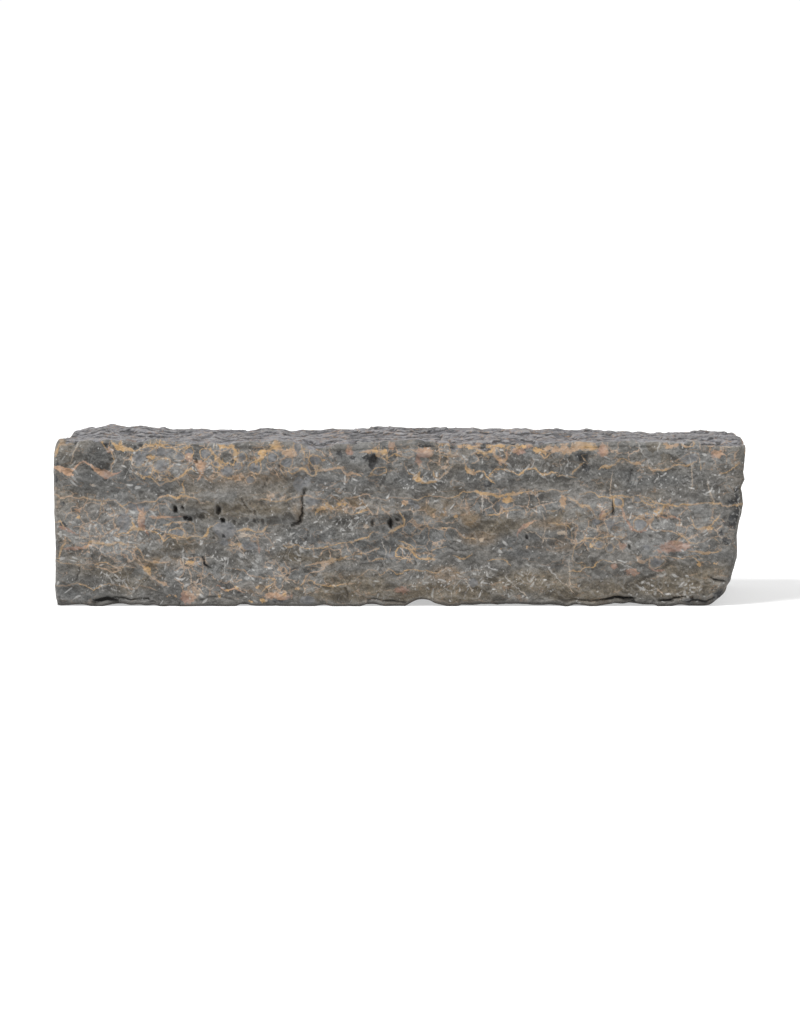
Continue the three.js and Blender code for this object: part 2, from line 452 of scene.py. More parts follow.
        Seam(0.9, "-440,226 -446,215 -450,206"),
        Seam(0.8, "380,30 392,25 404,30 414,22"),
        Seam(0.7, "220,150 226,128 222,104"),
        Seam(0.8, "-36,105 -30,88 -34,70"),
    ),
}

# Blots of mineral: x, height, half width, half height.
BLOTS: dict[Tone, list[tuple[float, ...]]] = {
    Tone.GOLD: rows("""
        -408,239,7,3 -270,206,8,6 -262,211,5,4 -187,244,14,6 -131,233,3,3 -1,166,6,5 64,151,3,6 82,146,6,3
        46,148,3,5 230,252,8,4 258,249,13,7 253,170,7,15 164,172,13,6 -522,145,5,3 -415,60,8,5 -346,71,8,4
        164,94,10,2 196,97,4,3 300,99,3,5 475,68,5,4 496,70,7,3 -374,16,8,3 -299,16,5,3 -285,26,6,3
        -270,30,5,4 -237,32,6,3 -229,9,8,3 -251,6,6,3 -174,30,4,3 -193,19,4,3 -456,255,10,4 270,253,6,5
        -100,165,9,3 109,259,12,4 135,249,7,5 150,257,10,4 244,250,14,5 286,257,12,4 302,251,8,4
        216,248,8,4 88,259,8,3 66,258,8,3 -228,245,7,4 -206,252,10,4 -180,243,9,4 -50,248,9,3 -34,246,7,6
        -12,241,6,3 -60,246,7,3 20,204,8,4 104,218,8,4 104,258,7,5 112,255,6,5 119,249,5,5 127,244,5,3
        137,254,4,6 188,256,8,3 209,250,6,5 224,246,6,4 243,251,7,6 257,252,9,7 270,252,6,6 281,256,5,5
        296,254,7,4 372,229,9,3 424,254,10,3 400,160,5,3 411,153,5,5 488,127,8,3 -456,252,10,4 -294,255,7,3
        -304,238,4,6 -270,244,3,6
    """),
    Tone.ROSE: rows("""
        -328,224,9,12 -346,238,7,7 -472,249,5,6 -90,248,8,8 -22,252,6,5 32,246,15,9 21,233,6,6 181,248,11,6
        196,257,12,7 318,248,9,9 499,244,11,6 -422,141,7,19 -450,82,4,5 -235,94,3,8 -3,27,15,7 317,147,7,7
        311,164,3,5 351,98,7,6 434,97,32,9 420,92,12,6 362,57,11,6 370,53,6,6 336,66,6,4 -350,14,13,12
        -523,156,6,3 -205,16,26,6
    """),
    Tone.PALE: rows("""
        -552,116,5,5 -464,178,4,5 -63,129,5,5 251,119,8,4 123,108,6,5 133,52,3,6 -333,22,5,5 452,98,10,5
        -430,214,5,4 390,232,4,4 -394,207,4,5 -500,196,7,3 -356,64,3,4
    """),
    Tone.COAL: rows("""
        -528,260,3,5 -478,258,6,7 -424,260,5,7 -434,255,5,4 -552,228,6,4 -558,206,4,9 -546,131,7,7
        -106,246,5,8 -85,238,8,3 -55,238,13,7 -52,228,8,12 -37,257,9,4 -22,263,7,3 31,257,14,3.5
        133,198,8,7 185,261,14,4 238,259,8,3 265,268,16,4 127,260,6,5 -210,258,5,4 76,254,5,4 284,238,12,8
        290,224,7,9 532,178,5,20 524,140,8,15 507,119,5,5 516,105,10,7 -267,22,5,4 506,18,12,8 -350,143,9,5
        530,150,5,8 514,134,6,4 522,168,6,5 -548,166,6,4 -205,11,12,6 -560,100,4,16
    """),
    Tone.ASH: rows("""
        -170,197,9,13 -290,124,19,15 -291,104,9,7 10,168,6,6 19,161,5,5 -157,202,6,11 455,9,9,5
        -157,11,15,8 -198,11,13,6 211,262,7,7 109,38,7,7 378,132,9,9 343,169,6,8 455,236,16,7 388,95,7,5
        -452,136,11,16 -439,161,9,6 -250,98,14,7 306,136,7,6 330,134,9,7 -424,158,14,8 404,72,12,7
        -150,170,12,6 160,166,14,6 -18,82,12,6 392,135,5,4
    """),
    Tone.UMBER: rows("""
        -270,190,92,24 -104,161,74,12 58,156,34,14 104,143,20,16 -171,154,7,17 270,145,40,14 330,200,26,12
        -100,30,90,26 60,20,110,22 300,22,90,24 460,60,60,26 -390,100,60,12 200,40,80,20 -300,170,60,16
        150,130,60,16 -255,152,84,18 -480,42,76,22 -150,82,60,18 430,30,90,22
    """),
    # Where nodules crowd together, with mineral round each.
    Tone.NET: rows("""
        -350,230,100,32 -203,235,44,24 -135,235,44,20 -52,243,54,16 56,240,74,22 224,252,110,16
        435,245,115,20 -456,128,104,58 -270,176,90,9 -250,104,40,28 -90,165,80,18 40,135,50,38
        168,168,85,22 296,130,45,38 416,125,100,48 -360,50,85,38 -200,45,80,30 8,85,50,14 -100,90,60,14
    """),
    # Where white flecks crowd together.
    Tone.FLECK: rows("""
        -470,120,92,46 -100,158,56,50 216,222,104,24 432,202,84,26 -290,56,124,44 120,40,134,34
        424,34,84,24 360,130,114,42 -396,238,70,28 40,205,60,26 -300,226,70,22 -460,40,70,24 -190,100,50,30
        532,165,16,40
    """),
    # Soft dark smudges; the thin bands along the foot and along the row of pits are painted shade under
    # ledges.
    Tone.SOOT: rows("""
        -235,139,54,7 -345,150,26,14 -302,150,8,14 -98,139,44,11 14,112,34,14 -548,228,14,14 -492,236,28,26
        280,236,30,18 -52,230,14,14 498,18,30,15 -470,8,40,8 400,9,80,7 120,200,22,16 -60,100,50,10
        -400,206,50,8 -180,196,14,14 330,60,60,12 -210,8,60,7 30,262,60,5 -556,105,6,30 230,205,60,10
        -20,140,16,12
    """),
    Tone.OCHRE: rows("""
        -172,154,7,17 -100,162,66,9 54,157,34,11 104,144,16,14 238,133,30,8 230,98,40,10 64,52,26,12
        -236,30,30,10 -396,70,40,8 -250,206,60,10 -350,210,20,10 120,110,30,10
    """),
    # Broad light and dark areas of the ground.
    Tone.BRIGHT: rows("""
        -462,128,96,44 410,132,96,46 -370,226,60,26 -150,240,50,20 -270,190,80,16 300,170,60,20
        -236,108,40,22 -150,170,26,14
    """),
    Tone.DUSK: rows("""
        -10,100,90,30 -100,206,60,16 130,212,70,12 -470,200,90,20 200,100,50,24 470,80,50,20 -150,110,50,22
        -520,30,60,26 -380,130,20,20 -120,196,36,14 -40,236,22,12 -240,141,60,8 -490,238,22,18 20,205,60,14
        380,205,90,14 -96,236,60,10
    """),
}

# The grey nodules that the rings go round.
BLOTS[Tone.ASH] += [
    (ring.x, ring.height, 0.8 * ring.radius_x, 0.8 * ring.radius_z)
    for ring in SEAMS[Tone.GOLD] if isinstance(ring, Ring)
]

# Cracks and creases: depth, then the line with its half width. The finish paints each line near-black, as
# painted shade.
CRACKS: tuple[tuple[float, Seam], ...] = (
    (8, Seam(1.0, "-160,188,0.3 -163,180,0.5 -167,172,0.5 -164,164,0.8 -167,157,0.7 -165,150,1.1 "
                  "-170,144,0.8 -169,139,1.1 -174,134,0.7 -181,131,0.3")),
    (3, Seam(0.7, "-156,120,0.3 -157,114 -158,108,0.3")),
    (1.5, Seam(0.4, "-190,95 -193,86 -199,73 -209,62,0.2")),
    (6, Seam(1.4, "-323,79,0.5 -322,68 -314,61,0.5")),
    (4, Seam(1.1, "333,167 334,153")),
    (2, Seam(0.4, "-28,214 -34,203 -42,191,0.2")),
    (2, Seam(0.4, "-32,76 -36,66 -40,58")),
    (3, Seam(0.6, "364,218 358,202")),
    (2, Seam(0.6, "-519,62 -525,42")),
    (2, Seam(0.6, "-413,47 -424,36")),
    (2, Seam(0.3, "359,30 384,44 410,56 422,65")),
    (9, Seam(2.6, "-500,7,0.6 -490,9 -481,11 -470,9 -462,7,0.6")),
    (9, Seam(2.2, "318,10,0.6 330,11 345,13 356,10 368,9,0.6")),
    (6, Seam(1.6, "410,9,0.6 418,9 428,10")),
    (6, Seam(1.6, "432,13,0.6 440,14 449,16,0.6")),
    (6, Seam(1.4, "492,46,0.5 500,42 512,40,0.5")),
    (4, Seam(1.0, "-470,14,0.5 -450,12 -440,10 -415,12,0.4")),
    (3, Seam(0.9, "250,10,0.4 290,8 318,11")),
    (3, Seam(0.8, "-60,7,0.4 -30,9 0,6")),
    (2, Seam(0.5, "-222,206 -228,192")),
    (2, Seam(0.6, "-262,172 -254,160")),
    (4, Seam(1.3, "448,6,0.5 470,10 486,8 500,14,0.5")),
    (2, Seam(0.5, "70,96 84,90 102,92")),
    (2, Seam(0.5, "-88,44 -96,30 -92,16")),
    (2, Seam(0.5, "-330,12 -300,16 -272,8")),
)

# Pits and holes: x, height, half width, half height, depth. The finish paints the deeper ones near-black, as
# painted shade.
PITS = rows("""
    -24,133,4.2,10,12 -12,139,2.4,2.6,6 -334,232,2.4,3,6 224,157,2,2,5 195,113,3,3,6 -52,136,3.4,7,6
    -369,158,4.2,7,10 -358,161,3.4,4,7 -353,142,4,4.5,9 -346,140,3.4,4.5,9 -327,146,5,7,5 -300,154,4.4,9,8
    -293,138,4.4,4.4,10 -291,115,2.4,2.4,5 -308,111,2.4,2.4,4 -250,152,3.4,5,4 -242,151,3.2,4.4,4
    -274,137,2.4,4.6,5 -253,139,2,3.6,4 -243,137,2,4.4,6 -229,138,1.8,3.8,4 360,96,3,6,7 17,71,2.6,4.4,5
    -366,3,5,3,6 462,12,3.4,6,8 -482,258,5,5,4 -424,260,5,6,5 -52,232,9,12,5 287,232,9,12,4 122,255,5,5,4
    185,260,13,4,5 266,261,16,4,4 31,257,12,3,3 528,160,8,26,3 448,200,3,2,3 395,113,3,3,3
""")

# Smooth domes that stand out: x, height, half width, half height, rise.
DOMES = rows("""
    -495,240,22,22,5 -388,226,15,13,2.5 -426,240,13,12,2 416,133,18,11,3 211,262,9,8,4 -290,124,20,15,3
    32,247,15,10,3 378,132,10,10,2.5 343,169,7,9,2.5 -175,154,9,16,3 197,256,13,8,2.5 -130,200,30,16,3
    -505,205,34,16,3 330,205,40,16,3 -110,60,46,14,2.5 150,205,24,12,2 -20,150,9,9,2 455,236,16,8,2
""")


@dataclass(frozen=True)
class Sheets:
    """How the markings run back through the stone.

    Attributes:
        shear: How far a marking slides along the block for each millimetre of depth.
        dip: How far it climbs for each millimetre of depth.
        wander: How far the sheets wander up and down by the time they reach the back.
        ripple: How far they ripple on the front face itself.
        rise: Share by which those above rise_from are drawn up towards the arris.
        rise_from: Height in millimetres.
        skin: Depth behind the front face over which they run straight back.
        drift: How far the sheets drift along the block by the time they reach the back.
        fold: How far below the top they fold over, on their way back.
    """

    shear: float = 0.8
    dip: float = 0.13
    wander: float = 20
    ripple: float = 1.5
    rise: float = 0.055
    rise_from: float = 200
    skin: float = 14
    drift: float = 26
    fold: float = 8

    def unfold(self, points: np.ndarray, low: np.ndarray, high: np.ndarray) -> tuple[np.ndarray, np.ndarray]:
        """Finds the place on the front face whose marking reaches each point.

        Args:
            points: Places on the block, in millimetres.
            low: The block's lowest corner.
            high: The block's highest corner.

        Returns:
            X and height on the front face, one of each per point.
        """
        depth = np.clip(points[:, 1] - low[1] - self.skin, 0, None)
        share = depth / (high[1] - low[1])
        x = points[:, 0] + self.shear * depth + self.ripple * soft_noise(points, 13, 11)
        x = x + self.drift * share * soft_noise(points, (150, 90, 110), 12)
        height = points[:, 2] - self.dip * depth + self.ripple * soft_noise(points, 15, 13)
        height = height + self.wander * share * layered_noise(points, (130, 100, 160), 2, 14)
        height = height - self.rise * np.clip(points[:, 2] - self.rise_from, 0, None) * (1 - share)
        x = np.where(x > high[0], 2 * high[0] - x, x)
        top = high[2] - self.fold
        height = np.abs(height)
        height = np.where((height > top) & (depth > 0), 2 * top - height, height)
        return x, height


def nearest_seam(seams: tuple[Seam | Ring, ...], x: np.ndarray, height: np.ndarray) -> np.ndarray:
    """Measures how each place lies to its nearest seam.

    Args:
        seams: The seams to measure from.
        x: X of each place on the front face.
        height: Height of each place.

    Returns:
        Three columns: distance with a sign for the side of the seam, plain distance, and half width.
    """
    x0, z0, w0, x1, z1, w1 = np.concatenate([seam.segments() for seam in seams]).T
    dx, dz = x1 - x0, z1 - z0
    length = dx * dx + dz * dz
    found = np.empty((len(x), 3))
    batch = 4000
    for start in range(0, len(x), batch):
        px = x[start:start + batch, None] - x0
        pz = height[start:start + batch, None] - z0
        share = np.clip((px * dx + pz * dz) / length, 0, 1)
        away = np.hypot(px - share * dx, pz - share * dz)
        half = w0 + share * (w1 - w0)
        pick = np.argmin(away - half, axis=1)[:, None]
        side = np.where(np.take_along_axis(dx * pz - dz * px, pick, 1) >= 0, 1.0, -1.0)
        away = np.take_along_axis(away, pick, 1)
        found[start:start + batch] = np.hstack([side * away, away, np.take_along_axis(half, pick, 1)])
    return np.clip(found, -40, 40)


def inside_blots(blots: list[tuple[float, ...]], x: np.ndarray, height: np.ndarray) -> np.ndarray:
    """Measures how far each place is inside the nearest blot.

    Args:
        blots: The blots to measure from.
        x: X of each place on the front face.
        height: Height of each place.

    Returns:
        The distance in about millimetres, negative outside.
    """
    depth = np.full(len(x), -8.0)
    for blot_x, blot_z, half_x, half_z in blots:
        reach = np.hypot((x - blot_x) / half_x, (height - blot_z) / half_z)
        depth = np.maximum(depth, (1 - reach) * min(half_x, half_z) * 0.5 + (1 - reach) * 2)
    return np.clip(depth, -8, 8)


# ---------------------------------------------------------------------------------------------------
# The stone's mesh
# ---------------------------------------------------------------------------------------------------

class Side(Enum):
    """The six sides: the axis it faces along and which way, then its place on the bake map."""

    FRONT = (1, False, 0.0, 0.757, 1.0, 0.243)
    BACK = (1, True, 0.0, 0.510, 1.0, 0.243)
    TOP = (2, True, 0.0, 0.247, 1.0, 0.259)
    LEFT = (0, False, 0.0, 0.0, 0.266, 0.243)
    RIGHT = (0, True, 0.270, 0.0, 0.266, 0.243)
    BED = (2, False, 0.540, 0.0, 0.460, 0.243)


@dataclass(frozen=True)
class BoxLattice:
    """A box's surface as one welded net of quads.

    Attributes:
        cells: Number of quads along X, Y and Z.
    """

    cells: tuple[int, int, int]

    def side_corners(self, side: Side) -> np.ndarray:
        """Lists the quads of one side.

        Args:
            side: The side.

        Returns:
            Whole-number places of each quad's four corners, wound to face outwards.
        """
        axis, positive = side.value[:2]
        across, up = (axis + 1) % 3, (axis + 2) % 3
        counts = np.meshgrid(np.arange(self.cells[across] + 1), np.arange(self.cells[up] + 1), indexing="ij")
        place = np.zeros(counts[0].shape + (3,), np.int64)
        place[..., axis] = self.cells[axis] if positive else 0
        place[..., across], place[..., up] = counts
        corners = np.stack([place[:-1, :-1], place[1:, :-1], place[1:, 1:], place[:-1, 1:]], axis=2)
        if not positive:
            corners = corners[:, :, ::-1]
        return corners.reshape(-1, 4, 3)

    def bake_map(self, side: Side, corners: np.ndarray) -> np.ndarray:
        """Lays one side flat in its own rectangle.

        Args:
            side: The side.
            corners: Whole-number places of its quads' corners.

        Returns:
            Flat map coordinates of the corners.
        """
        axis, _, left, low, width, tall = side.value
        across, up = (1 if axis == 0 else 0), (1 if axis == 2 else 2)
        gap = 0.0015
        u = left + gap + corners[..., across] / self.cells[across] * (width - 2 * gap)
        v = low + gap + corners[..., up] / self.cells[up] * (tall - 2 * gap)
        return np.stack([u, v], axis=-1)

    def weld(self) -> tuple[np.ndarray, np.ndarray, np.ndarray]:
        """Joins the sides.

        Returns:
            Shares from 0 to 1 along each axis of every point, the quads, and the quads' bake map.
        """
        corners = [self.side_corners(side) for side in Side]
        flat_map = np.concatenate([self.bake_map(side, quads) for side, quads in zip(Side, corners)])
        places = np.concatenate(corners).reshape(-1, 3)
        points, index = np.unique(places, axis=0, return_inverse=True)
        return points / np.array(self.cells), index.reshape(-1, 4), flat_map


@dataclass
class NetShape:
    """Points and quads with the few sums that shaping them needs.

    Attributes:
        points: Places in millimetres.
        quads: Four point numbers per quad.
    """

    points: np.ndarray
    quads: np.ndarray

    def __post_init__(self) -> None:
        """Lists the edges once."""
        pairs = np.concatenate([self.quads[:, [i, (i + 1) % 4]] for i in range(4)])
        self.edges = np.unique(np.sort(pairs, axis=1), axis=0)
        self.degree = np.bincount(self.edges.ravel(), minlength=len(self.points))

    def neighbour_mean(self, values: np.ndarray) -> np.ndarray:
        """Averages over each point's neighbours.

        Args:
            values: One value per point, or several columns of them.

        Returns:
            The means, in the same layout.
        """
        start, end = self.edges.T
        count = len(self.points)
        sums = [
            np.bincount(start, column[end], count) + np.bincount(end, column[start], count)
            for column in np.atleast_2d(values.T)
        ]
        return (np.stack(sums) / self.degree).T.reshape(values.shape)

    def relax(self, rounds: int) -> None:
        """Smooths the net, each round moving points half of the way to their neighbours' mean."""
        for _ in range(rounds):
            self.points = 0.5 * (self.points + self.neighbour_mean(self.points))

    def spread(self, values: np.ndarray, rounds: int) -> np.ndarray:
        """Blurs values over the net.

        Args:
            values: One value per point.
            rounds: How many times to average.

        Returns:
            The blurred values.
        """
        for _ in range(rounds):
            values = self.neighbour_mean(values)
        return values

    def normals(self) -> np.ndarray:
        """Works out which way the surface faces.

        Returns:
            Unit outward direction at each point.
        """
        a, b, c, d = (self.points[self.quads[:, i]] for i in range(4))
        facing = np.cross(c - a, d - b)
        total = np.zeros_like(self.points)
        for corner in range(4):
            for axis in range(3):
                total[:, axis] += np.bincount(self.quads[:, corner], facing[:, axis], len(self.points))
        return total / np.linalg.norm(total, axis=1, keepdims=True)


@dataclass(frozen=True)
class SplitFace:
    """How deep the hollows of a split face are.

    Attributes:
        broad: Depth of hollows about a hand wide.
        middle: Depth of hollows about a thumb wide.
        fine: Depth of hollows about a fingertip wide.
        swell: Height of the slow swells.
    """

    broad: float = 9.0
    middle: float = 5.5
    fine: float = 2.8
    swell: float = 1.8

    def relief(self, points: np.ndarray) -> np.ndarray:
        """Shapes the split surface.

        Args:
            points: Places on the plain block, in millimetres.

        Returns:
            Its height over the plain one, in millimetres.
        """
        lean = points @ np.array([[1, 0, 0.3], [0, 1, 0], [-0.35, 0, 1]])
        return (
            self.broad * bowls(lean, (74, 62, 50), 21)
            + self.middle * bowls(lean, (27, 26, 20), 31)
            + self.fine * bowls(points, (11, 11, 9), 41)
            + self.swell * layered_noise(points, 34, 3, 51)
        )


@dataclass
class MarbleStone:
    """The whole block: its shape, its markings and its finish.

    Attributes:
        node: The solid that it stands for.
        body: The body that it rides on.
        slot: The material slot that it takes; not used.
        cells: Quads along X, Y and Z.
        core_inset: How far inside the box the lines start that find the solid's surface.
        foot_rows: Rows of quads that are drawn out to a sharp foot.
        split: Depths of the split faces.
        sheets: How markings run back.
        crown: How far the upper bed stands out, as pairs of X and distance.
        left_trim: How far the left end stands out, as pairs of height and distance.
        right_trim: The same for the right end.
        tuck: How far the right end falls back behind its front arris.
        front_nicks: Chips under the front foot, each its X, half width and height.
        drift: Slow drifts of the ground's colour, each its width, layers and pattern.
        drift_b: Drifts of the markings' thickness, crowding and strength.
        front_depth: How much of the front face is dressed back before it is shaped.
        seam_stand: How far the gold seams stand proud.
    """

    node: str = "marble_block"
    body: str = "root"
    slot: str = "veined_marble"
    cells: tuple[int, int, int] = (340, 46, 84)
    core_inset: float = 75
    foot_rows: int = 6
    split: SplitFace = SplitFace()
    sheets: Sheets = Sheets()
    crown: str = (
        "-560,-2 -540,-6 -525,-6.5 -505,-3.5 -330,-2 -270,0.5 -205,3 -165,0 -141,-2.5 -105,3 -75,3 -50,0.5 "
        "60,0.5 110,2 165,2 195,-2 214,-3.5 240,-1 300,-1 360,-1 402,-2 450,-3 505,-6 530,-6 560,-2"
    )
    left_trim: str = "0,5 30,8 60,4 76,2.5 140,3.5 180,2.5 215,5 250,3 270,1"
    right_trim: str = (
        "0,-9 12,-8 25,-1 65,5 78,6.5 95,3.5 114,1 150,7 166,6 190,-1 204,4.5 217,1.5 242,4 270,5"
    )
    tuck: float = 8
    front_nicks: tuple = ((25, 24, 8.5), (135, 26, 3), (350, 42, 3), (-462, 24, 3))
    drift: tuple = ((80, 3, 101), ((26, 26, 18), 2, 111), (30, 2, 121))
    drift_b: tuple = ((20, 2, 131), (70, 3, 141), (34, 2, 171))
    front_depth: float = 2.0
    seam_stand: float = 0.6

    def blank(self) -> tuple[NetShape, np.ndarray]:
        """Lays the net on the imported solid.

        Returns:
            The smoothed net, and its bake map.
        """
        low, high = (np.array(corner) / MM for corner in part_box(self.node))
        shares, quads, flat_map = BoxLattice(self.cells).weld()
        on_box = low + shares * (high - low)
        core = np.clip(on_box, low + self.core_inset, high - self.core_inset)
        outward = on_box - core
        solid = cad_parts[self.node].data
        corners = [vertex.co / MM for vertex in solid.vertices]
        tree = BVHTree.FromPolygons(corners, [tuple(face.vertices) for face in solid.polygons])
        points = on_box.copy()
        for i, (start, way) in enumerate(zip(core, outward)):
            hit = tree.ray_cast(Vector(start), Vector(way))[0]
            if hit is not None:
                points[i] = hit
        net = NetShape(points, quads)
        net.relax(5)
        self.square_foot(net, shares)
        return net, flat_map

    def square_foot(self, net: NetShape, shares: np.ndarray) -> None:
        """Draws the lowest rows of the sides out to a sharper foot.

        Args:
            net: The smoothed net, which is changed.
            shares: Share of the way along each axis, of every point.
        """
        steps = np.rint(shares * self.cells).astype(int)
        on_side = (steps[:, 0] % self.cells[0] == 0) | (steps[:, 1] % self.cells[1] == 0)
        column = steps[:, 0] * (self.cells[1] + 1) + steps[:, 1]
        at_guide = on_side & (steps[:, 2] == self.foot_rows)
        guide = np.zeros(column.max() + 1, int)
        guide[column[at_guide]] = np.flatnonzero(at_guide)
        foot = np.flatnonzero(on_side & (steps[:, 2] < self.foot_rows))
        down = 1 - steps[foot, 2] / self.foot_rows
        drawn = net.points[guide[column[foot]], :2] - net.points[foot, :2]
        from_side = np.minimum(steps[foot, :2], np.array(self.cells[:2]) - steps[foot, :2])
        share = np.where(from_side.max(axis=1) < 4, 0.3, 0.8)
        net.points[foot, :2] += share[:, None] * drawn
        net.points[foot, 2] = np.clip(net.points[foot, 2] - 3.5 * down, 0, None)

    def carve_depth(self, points: np.ndarray, x: np.ndarray,
                    height: np.ndarray) -> tuple[np.ndarray, np.ndarray]:
        """Depth of cracks and pits.

        Args:
            points: Places on the block, in millimetres.
            x: X of each on the front face.
            height: Height of each on the front face.

        Returns:
            Depth in millimetres, and how much of it is deep pit from 0 to 1, where the finish paints shade
            near-black.
        """
        depth = np.zeros(len(x))
        for full, seam in CRACKS:
            _, away, half = nearest_seam((seam,), x, height).T
            depth = np.maximum(depth, full * np.exp(-((away / (half + 1.6)) ** 2)))
        rag = 0.4 * layered_noise(points, 9, 2, 151)
        holes = np.zeros(len(x))
        for pit_x, pit_z, half_x, half_z, full in PITS:
            across, up = (x - pit_x) / (0.85 * half_x + 0.3), (height - pit_z) / (0.85 * half_z + 0.3)
            holes = np.maximum(holes, full * ease_between(1.35, 0.3, np.hypot(across, up) + rag))
        return np.maximum(depth, holes), ease_between(4, 9, holes)

    def dome_rise(self, x: np.ndarray, height: np.ndarray) -> np.ndarray:
        """Height of the domes.

        Args:
            x: X of each place on the front face.
            height: Height of each place.

        Returns:
            How far the domes stand out there, in millimetres.
        """
        rise = np.zeros(len(x))
        for dome_x, dome_z, half_x, half_z, full in DOMES:
            reach = ((x - dome_x) / half_x) ** 2 + ((height - dome_z) / half_z) ** 2
            rise = np.maximum(rise, full * np.sqrt(np.clip(1 - reach, 0, 1)))
        return rise

    def shape(self, net: NetShape) -> dict[str, np.ndarray]:
        """Works the split faces, ledges, cracks and pits into the net.

        Args:
            net: The smoothed net, which is changed.

        Returns:
            Masks by name, three columns each.
        """
        plain = net.points.copy()
        low, high = plain.min(axis=0), plain.max(axis=0)
        outward = net.normals()
        x, height = self.sheets.unfold(plain, low, high)
        front = ease_between(0.45, 0.8, -outward[:, 1])
        upper = ease_between(0.5, 0.85, outward[:, 2])
        under = ease_between(0.5, 0.85, -outward[:, 2])
        arris = np.clip(2.4 * net.spread(ease_between(0.97, 0.8, np.abs(outward).max(axis=1)), 9), 0, 1)
        up_and_fore = np.clip(outward[:, 2], 0, 1) * np.clip(-outward[:, 1], 0, 1)
        fore_top = np.clip(5 * net.spread(up_and_fore, 9), 0, 1)
        ends = ease_between(0.3, 0.8, np.abs(outward[:, 0]))
        depth = plain[:, 1] - low[1]
        calm = np.clip(2 * net.spread(ends, 9), 0, 1) * ease_between(160, 60, depth)
        rough = self.split.relief(plain) * (1 - 0.3 * upper) * (1 - 0.35 * arris) * (1 - 0.85 * calm)
        rough -= self.front_depth * front
        flakes = ease_between(0.06, -0.3, bowls(plain, (52, 40, 34), 61))
        chips = -(1.5 + 3.0 * fore_top) * flakes * arris
        ledge, plate = self.ledges(plain)
        carved, pit_shade = self.carve_depth(plain, x, height)
        carved *= front
        seam_away = nearest_seam(SEAMS[Tone.GOLD], x, height)
        beside = seam_away[:, 1] - seam_away[:, 2]
        proud = self.seam_stand * ease_between(2.5, 0.5, beside) * (1 - upper)
        rise = self.dome_rise(x, height) * front
        lift = (rough + chips + ledge * upper + proud + rise - carved) * (1 - under)
        net.points = plain + outward * lift[:, None]
        from_end = np.minimum(high[0] - plain[:, 0], plain[:, 0] - low[0])
        at_end = ease_between(90, 12, from_end) * ease_between(260, 120, depth)
        net.points[:, 0] += np.sign(plain[:, 0]) * self.trim(plain, depth) * at_end
        hollow = np.clip(1.6 * layered_noise(plain, 40, 3, 71) + 0.4 * bowls(plain, (16, 16, 16), 81), 0, 3)
        flat = ease_between(12, 3, plain[:, 2]) * under
        net.points[:, 2] = net.points[:, 2] * (1 - flat) + flat * hollow
        net.points[:, 2] += self.foot_nicks(plain, low, high)
        net.points[:, 2] = np.clip(net.points[:, 2], 0, None)

        facing = net.normals()
        # bent: how far each point sits in a hollow (positive) or on a ridge (negative); the finish uses it
        # to darken the hollows as painted shade and to lighten the ridges.
        bent = ((net.neighbour_mean(net.points) - net.points) * facing).sum(axis=1)
        lean = net.spread(facing[:, 2], 2) + 0.25 * layered_noise(plain, 14, 3, 161)
        crusted = ease_between(0.62, 0.9, lean)
        triples = {
            "relief": (bent, pit_shade * front, plate),
            "sides": (crusted, under, front),
            "drift": [layered_noise(plain, *swell) for swell in self.drift],
            "drift_b": [layered_noise(plain, *swell) for swell in self.drift_b],
        }
        for letter, tones in BLOT_SETS.items():
            triples[f"blots_{letter}"] = [inside_blots(BLOTS[tone], x, height) for tone in tones]
        masks = {name: np.stack(columns, axis=1) for name, columns in triples.items()}
        masks["crack_line"] = nearest_seam(tuple(seam for _, seam in CRACKS), x, height)
        for tone in LINE_TONES:
            masks[f"{tone.value}_line"] = nearest_seam(SEAMS[tone], x, height)
        return masks

    def foot_nicks(self, points: np.ndarray, low: np.ndarray, high: np.ndarray) -> np.ndarray:
        """How far the small chips along the foot lift it off the floor.

        Args:
            points: Places on the block, in millimetres.
            low: The block's lowest corner.
            high: The block's highest corner.

        Returns:
            The lift of each place, in millimetres.
        """
        from_edge = np.minimum(points[:, :2] - low[:2], high[:2] - points[:, :2]).min(axis=1)
        nicks = 7.0 * np.clip(layered_noise(points, (26, 40, 60), 2, 191) + 0.1, 0, 1)
        nicks *= ease_between(34, 8, from_edge)
        for nick_x, half_x, tall in self.front_nicks:
            across = np.clip(1 - ((points[:, 0] - nick_x) / half_x) ** 2, 0, 1)
            nicks = np.maximum(nicks, tall * across * ease_between(150, 100, points[:, 1] - low[1]))
        return nicks * ease_between(30, 2, points[:, 2])

    def trim(self, points: np.ndarray, depth: np.ndarray) -> np.ndarray:
        """How far the ends stand out beyond the plain shape.

        Args:
            points: Places on the block, in millimetres.
            depth: Distance of each from the front face.

        Returns:
            The distance in millimetres, negative where an end falls back.
        """
        left = np.interp(points[:, 2], *zip(*rows(self.left_trim)))
        right = np.interp(points[:, 2], *zip(*rows(self.right_trim)))
        return np.where(points[:, 0] < 0, left, right - self.tuck * ease_between(6, 40, depth))

    def ledges(self, points: np.ndarray) -> tuple[np.ndarray, np.ndarray]:
        """The thin broken layers of the upper bed.

        Args:
            points: Places on the block, in millimetres.

        Returns:
            Their height in millimetres, and a random shade from -1 to 1 for each layer.
        """
        slope = 3.0 * layered_noise(points, (130, 80, 90), 3, 91) + 0.5 * layered_noise(points, 22, 2, 95)
        step = np.floor(slope)
        riser = step + ease_between(0, 0.16, slope - step)
        crown = np.interp(points[:, 0], *zip(*rows(self.crown)))
        return 3.0 * riser + crown + 3.0 * bowls(points, (34, 46, 30), 181), np.sin(2.4 * riser)

